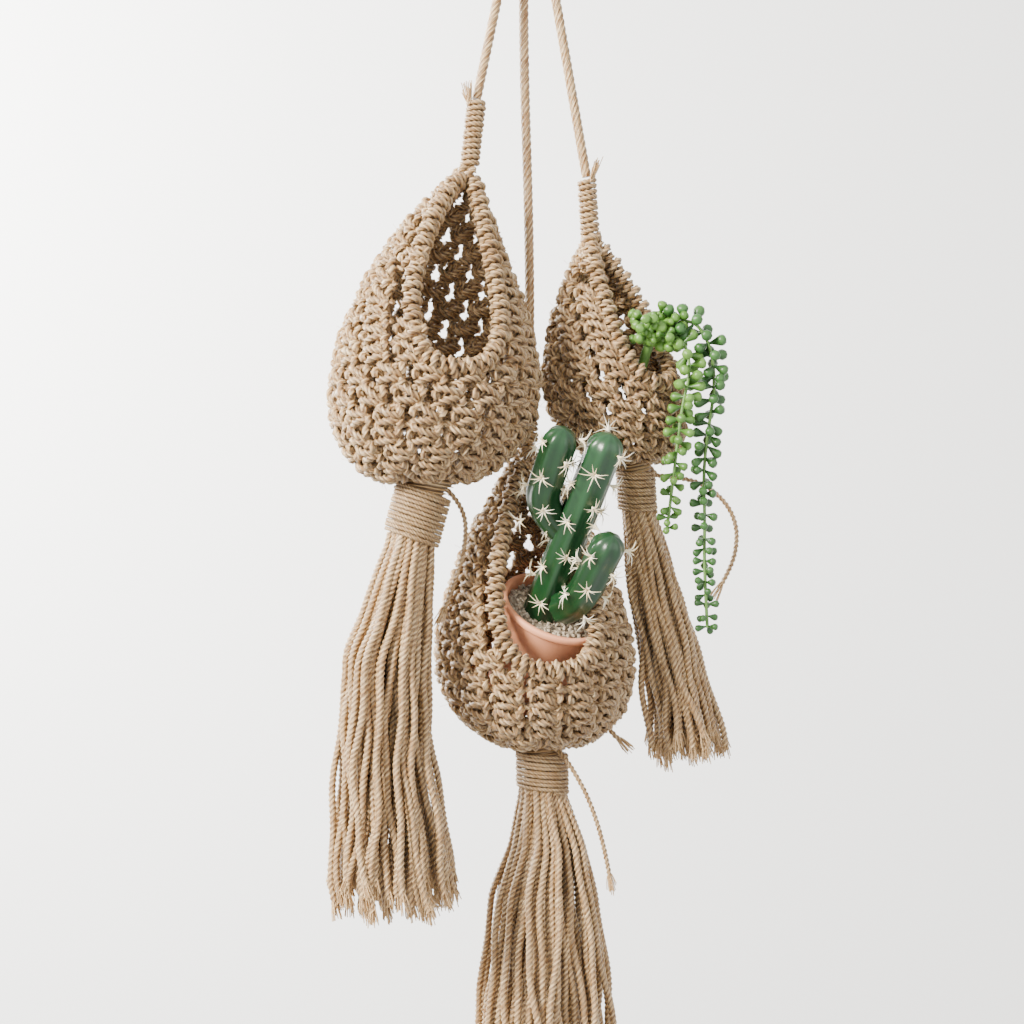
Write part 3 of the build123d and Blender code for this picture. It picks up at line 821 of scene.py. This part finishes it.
for k in range(520):
    out, angle = 29 * math.sqrt(chance.random()), chance.uniform(0, math.tau)
    heart = in_pot(out * math.cos(angle), out * math.sin(angle), -5.8 + chance.uniform(-0.5, 0.7))
    lean = Vector([chance.uniform(-1, 1) for _ in range(3)]).normalized() * chance.uniform(0.8, 1.6) * MM
    stones.append([heart - lean, heart - lean * 0.4, heart + lean * 0.4, heart + lean])
    size = chance.uniform(0.6, 1.3)
    widths.append([0.35 * size, size, 0.9 * size, 0.3 * size])
gravel = strands("gravel", stones, 1.2, grit, step=0.9, sides=5, depth=0, widths=widths)
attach(gravel, "lower_pod")

# --- Cactus: a ribbed column with two arms, glossy dark green, paler towards the tips -----------------
# Soft moulded skin, with a cluster of stiff curved cream spines on each areole.
COLUMN = ((-8.5, -2, -12), (-7, 0, 111))
LEFT_ARM = ((-9, 3, 50), (-31, 4, 60), (-33, 0, 108))
RIGHT_ARM = ((1, -13, 8), (7, -23, 20), (9, -29, 65))
COLUMN_RADIUS = 11.0
ARM_RADIUS = 10.3
SPINE_RADIUS = 0.42
SPINES_EACH = 9          # in a cluster
SPIRAL = 137.5           # degrees from one cluster to the next

cactus_skin, tree = new_material("cactus_skin")
coordinates = add(tree, "ShaderNodeTexCoord").outputs["Object"]
along = add(tree, "ShaderNodeAttribute", attribute_name="along").outputs["Fac"]
valley = add(tree, "ShaderNodeAttribute", attribute_name="valley").outputs["Fac"]
patch = add(tree, "ShaderNodeTexNoise", {"Vector": coordinates, "Scale": 55.0, "Detail": 3.0}).outputs[0]
pore = add(tree, "ShaderNodeTexNoise", {"Vector": coordinates, "Scale": 900.0, "Detail": 2.0}).outputs[0]
young = add(tree, "ShaderNodeMapRange",
            {"Value": along, "From Min": 0.03, "From Max": 0.13, "To Max": 0.3}).outputs[0]
colour = blend_colours(tree, patch, linear("0A2611"), linear("17401F"))
colour = blend_colours(tree, young, colour, linear("3B6443"))
# painted shade: the grooves between the ribs are darkened, standing in for the shade that falls in them
painted_groove_shade = add(tree, "ShaderNodeMath", {0: valley, 1: 0.35}, operation="MULTIPLY").outputs[0]
colour = blend_colours(tree, painted_groove_shade, colour, linear("0A2812"))
bump = add(tree, "ShaderNodeBump", {"Strength": 0.12, "Distance": 0.0004, "Height": pore})
finish_material(tree, colour, 0.3, bump)


def rounded_stem(points, radius):
    """The middle line of a stem, dense at its round end, and the width at each point."""
    corners = [Vector(p) for p in points]
    line = []
    if len(corners) == 3:
        for i in range(13):
            s = i / 12
            line.append(corners[0] * (1 - s) ** 2 + corners[1] * 2 * s * (1 - s)
                        + corners[1].lerp(corners[2], 0.35) * s * s)
        line += [corners[1].lerp(corners[2], 0.35 + 0.65 * i / 10) for i in range(1, 11)]
    else:
        line = [corners[0].lerp(corners[1], i / 24) for i in range(25)]
    widths = [1.0] * len(line)
    up = (line[-1] - line[-2]).normalized()
    tip = line[-1]
    for i in range(1, 11):
        angle = math.pi / 2 * i / 10.2
        line.append(tip + up * radius * math.sin(angle))
        widths.append(math.cos(angle))
    return [in_pot(*p) for p in line], widths


def spine_clusters(points, radius, first, count, low, high):
    """Spines in spiral clusters up the last run of a stem: lines and widths."""
    foot, tip = Vector(points[-2]), Vector(points[-1])
    up = (tip - foot).normalized()
    chance = random.Random(first)
    lines, widths = [], []
    for i in range(count):
        angle = math.radians(first + SPIRAL * i)
        out = Vector((math.cos(angle), math.sin(angle), 0))
        out = (out - up * out.dot(up)).normalized()
        side = up.cross(out)
        base = foot.lerp(tip, low + (high - low) * i / max(count - 1, 1)) + out * radius * 0.97
        for k in range(SPINES_EACH):
            turn = math.tau * k / SPINES_EACH + chance.uniform(-0.25, 0.25)
            splay = (side * math.cos(turn) + up * math.sin(turn)) * chance.uniform(0.7, 1.0)
            long = chance.uniform(6.0, 10.5)
            middle = base + (out * 0.75 + splay * 0.45) * long * 0.6
            end = base + (out * 0.55 + splay) * long
            lines.append([in_pot(*p) for p in (base, middle, end)])
            widths.append((1.2, 0.85, 0.15))
    return lines, widths


spine_lines, spine_widths = [], []
for name, points, radius, first, count, low, high in (
        ("cactus_column", COLUMN, COLUMN_RADIUS, 250, 26, 0.16, 1.06),
        ("cactus_left_arm", LEFT_ARM, ARM_RADIUS, 225, 15, -0.1, 1.14),
        ("cactus_right_arm", RIGHT_ARM, ARM_RADIUS, 290, 13, 0.0, 1.14)):
    line, widths = rounded_stem(points, radius)
    stem = strands(f"{name}_skin", [line], radius, cactus_skin, step=0.9, sides=56, depth=0.10, lobes=7,
                   widths=[widths])
    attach(stem, "lower_pod")
    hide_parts(name)
    lines, widths = spine_clusters(points, radius, first, count, low, high)
    spine_lines += lines
    spine_widths += widths

spine_horn, tree = new_material("cactus_spine")
tone = add(tree, "ShaderNodeAttribute", attribute_name="tone").outputs["Fac"]
coordinates = add(tree, "ShaderNodeTexCoord").outputs["Object"]
grain = add(tree, "ShaderNodeTexNoise", {"Vector": coordinates, "Scale": 800.0}).outputs[0]
colour = blend_colours(tree, tone, linear("FBF4DF"), linear("E6D3A6"))
bump = add(tree, "ShaderNodeBump", {"Strength": 0.1, "Distance": 0.0002, "Height": grain})
finish_material(tree, colour, 0.5, bump)
spines = strands("cactus_spine_clusters", spine_lines, SPINE_RADIUS, spine_horn, step=1.6, sides=5,
                 depth=0, widths=spine_widths)
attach(spines, "lower_pod")
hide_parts("cactus_spines")

# --- Trailing succulent: two long stems and a crown of club-shaped leaves, out of the right pod --------
# Fleshy leaves in whorls, with a soft gloss. The near trail is paler than the far one.
SHORT_TRAIL = ((76.5, -17, -349), (90, -24, -352), (96, -26, -371), (90, -26, -396), (87, -25, -422),
               (84, -24, -447), (81.5, -23, -468))
LONG_TRAIL = ((80, -16, -345), (95, -21, -341), (107, -19, -355), (111, -16, -380), (107, -14, -407),
              (104, -13, -432), (105, -12, -460), (104.5, -12, -490), (106.5, -12, -526))
STALK = ((58, 12, -413), (70, -6, -362), (76.5, -14.5, -349))
LEAF_RADIUS = 2.8


def leaf_material(name, dark, light):
    """A fleshy leaf: darker at the foot and paler at the tip."""
    material, tree = new_material(name)
    along = add(tree, "ShaderNodeAttribute", attribute_name="along").outputs["Fac"]
    tone = add(tree, "ShaderNodeAttribute", attribute_name="tone").outputs["Fac"]
    coordinates = add(tree, "ShaderNodeTexCoord").outputs["Object"]
    pore = add(tree, "ShaderNodeTexNoise", {"Vector": coordinates, "Scale": 600.0, "Detail": 2.0}).outputs[0]
    tip = add(tree, "ShaderNodeMapRange", {"Value": along, "From Max": 0.009}).outputs[0]
    colour = blend_colours(tree, tip, linear(dark), linear(light))
    half = add(tree, "ShaderNodeMath", {0: tone, 1: 0.5}, operation="MULTIPLY").outputs[0]
    colour = blend_colours(tree, half, colour, linear(dark))
    bump = add(tree, "ShaderNodeBump", {"Strength": 0.08, "Distance": 0.0003, "Height": pore})
    finish_material(tree, colour, 0.38, bump)
    return material


LEAF_WIDTHS = (0.24, 0.34, 0.62, 0.92, 1.08, 1.05, 0.85, 0.5, 0.08)
LEAF_STEPS = (0, 0.15, 0.35, 0.55, 0.7, 0.82, 0.92, 0.98, 1.0)


def leaf(foot, facing, length):
    """The middle line of one leaf."""
    return [foot + facing * length * MM * step for step in LEAF_STEPS]


def leaves_on(path, spacing, bare, length, seed):
    """Whorls of three leaves along a stem, smaller towards its tip: lines and widths."""
    chance = random.Random(seed)
    lines, widths = [], []
    whole = route_length(path) / MM
    carried, gone = bare, 0.0
    turn = 0.0
    for here, there in zip(path, path[1:]):
        step = (there - here).length / MM
        while carried < step:
            along = (there - here).normalized()
            side = along.orthogonal().normalized()
            across = along.cross(side)
            for k in range(3):
                angle = turn + math.tau * k / 3 + chance.uniform(-0.6, 0.6)
                facing = side * math.cos(angle) + across * math.sin(angle)
                facing = (facing + Vector((0, 0, -1)) * chance.uniform(-0.35, 0.75)).normalized()
                foot = here.lerp(there, carried / step) + facing * 0.5 * MM
                taper = 1.15 - 0.5 * (gone + carried) / whole
                lines.append(leaf(foot, facing, length * taper * chance.uniform(0.88, 1.12)))
                widths.append([w * taper * 1.05 for w in LEAF_WIDTHS])
            turn += 1.1
            carried += spacing * chance.uniform(0.85, 1.15)
        carried -= step
        gone += step
    return lines, widths


stem_green, tree = new_material("succulent_stem")
coordinates = add(tree, "ShaderNodeTexCoord").outputs["Object"]
patch = add(tree, "ShaderNodeTexNoise", {"Vector": coordinates, "Scale": 120.0}).outputs[0]
colour = blend_colours(tree, patch, linear("456F2C"), linear("6C9446"))
bump = add(tree, "ShaderNodeBump", {"Strength": 0.1, "Distance": 0.0003, "Height": patch})
finish_material(tree, colour, 0.5, bump)
pale_leaf = leaf_material("pale_succulent_leaf", "2F5A1C", "66903A")
deep_leaf = leaf_material("deep_succulent_leaf", "1A3F17", "3F6B30")
for name, route, material, spacing, seed in (("short_trail", SHORT_TRAIL, pale_leaf, 6.4, 11),
                                             ("long_trail", LONG_TRAIL, deep_leaf, 6.6, 12)):
    path = smooth_route(route)
    vine = strands(f"{name}_vine", [path], 1.0, stem_green, step=1.5, sides=8, depth=0)
    lines, widths = leaves_on(path, spacing, 5, 10.2, seed)
    foliage = strands(f"{name}_foliage", lines, LEAF_RADIUS, material, step=0.8, sides=8, depth=0,
                      widths=widths)
    for piece, label, node in ((vine, "stem", name), (foliage, "leaf", f"{name}_leaves")):
        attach(piece, "trailing_plant")
        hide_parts(node)

crown_heart = Vector((76.5, -14.5, -349)) * MM
chance = random.Random("crown")
lines = []
widths = []
for k in range(14):
    lean = Vector((chance.uniform(-1.3, 0.9), chance.uniform(-1.3, 0.2), chance.uniform(-0.5, 0.9)))
    lean.normalize()
    tip = crown_heart + lean * chance.uniform(9, 18) * MM
    more, wide = leaves_on([crown_heart, tip], 4.4, 3.5, 9.5, k)
    lines += more + [leaf(tip, lean, 8.0)]
    widths += wide + [LEAF_WIDTHS]
stalk = strands("succulent_stalk", [[Vector(p) * MM for p in STALK]], 3.2, stem_green, step=2, sides=10,
                lobes=5, depth=0.3)
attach(stalk, "trailing_plant")
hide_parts("plant_stalk")
crown = strands("succulent_crown", lines, LEAF_RADIUS, pale_leaf, step=0.8, sides=8, depth=0, widths=widths)
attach(crown, "trailing_plant")
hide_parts("plant_crown")
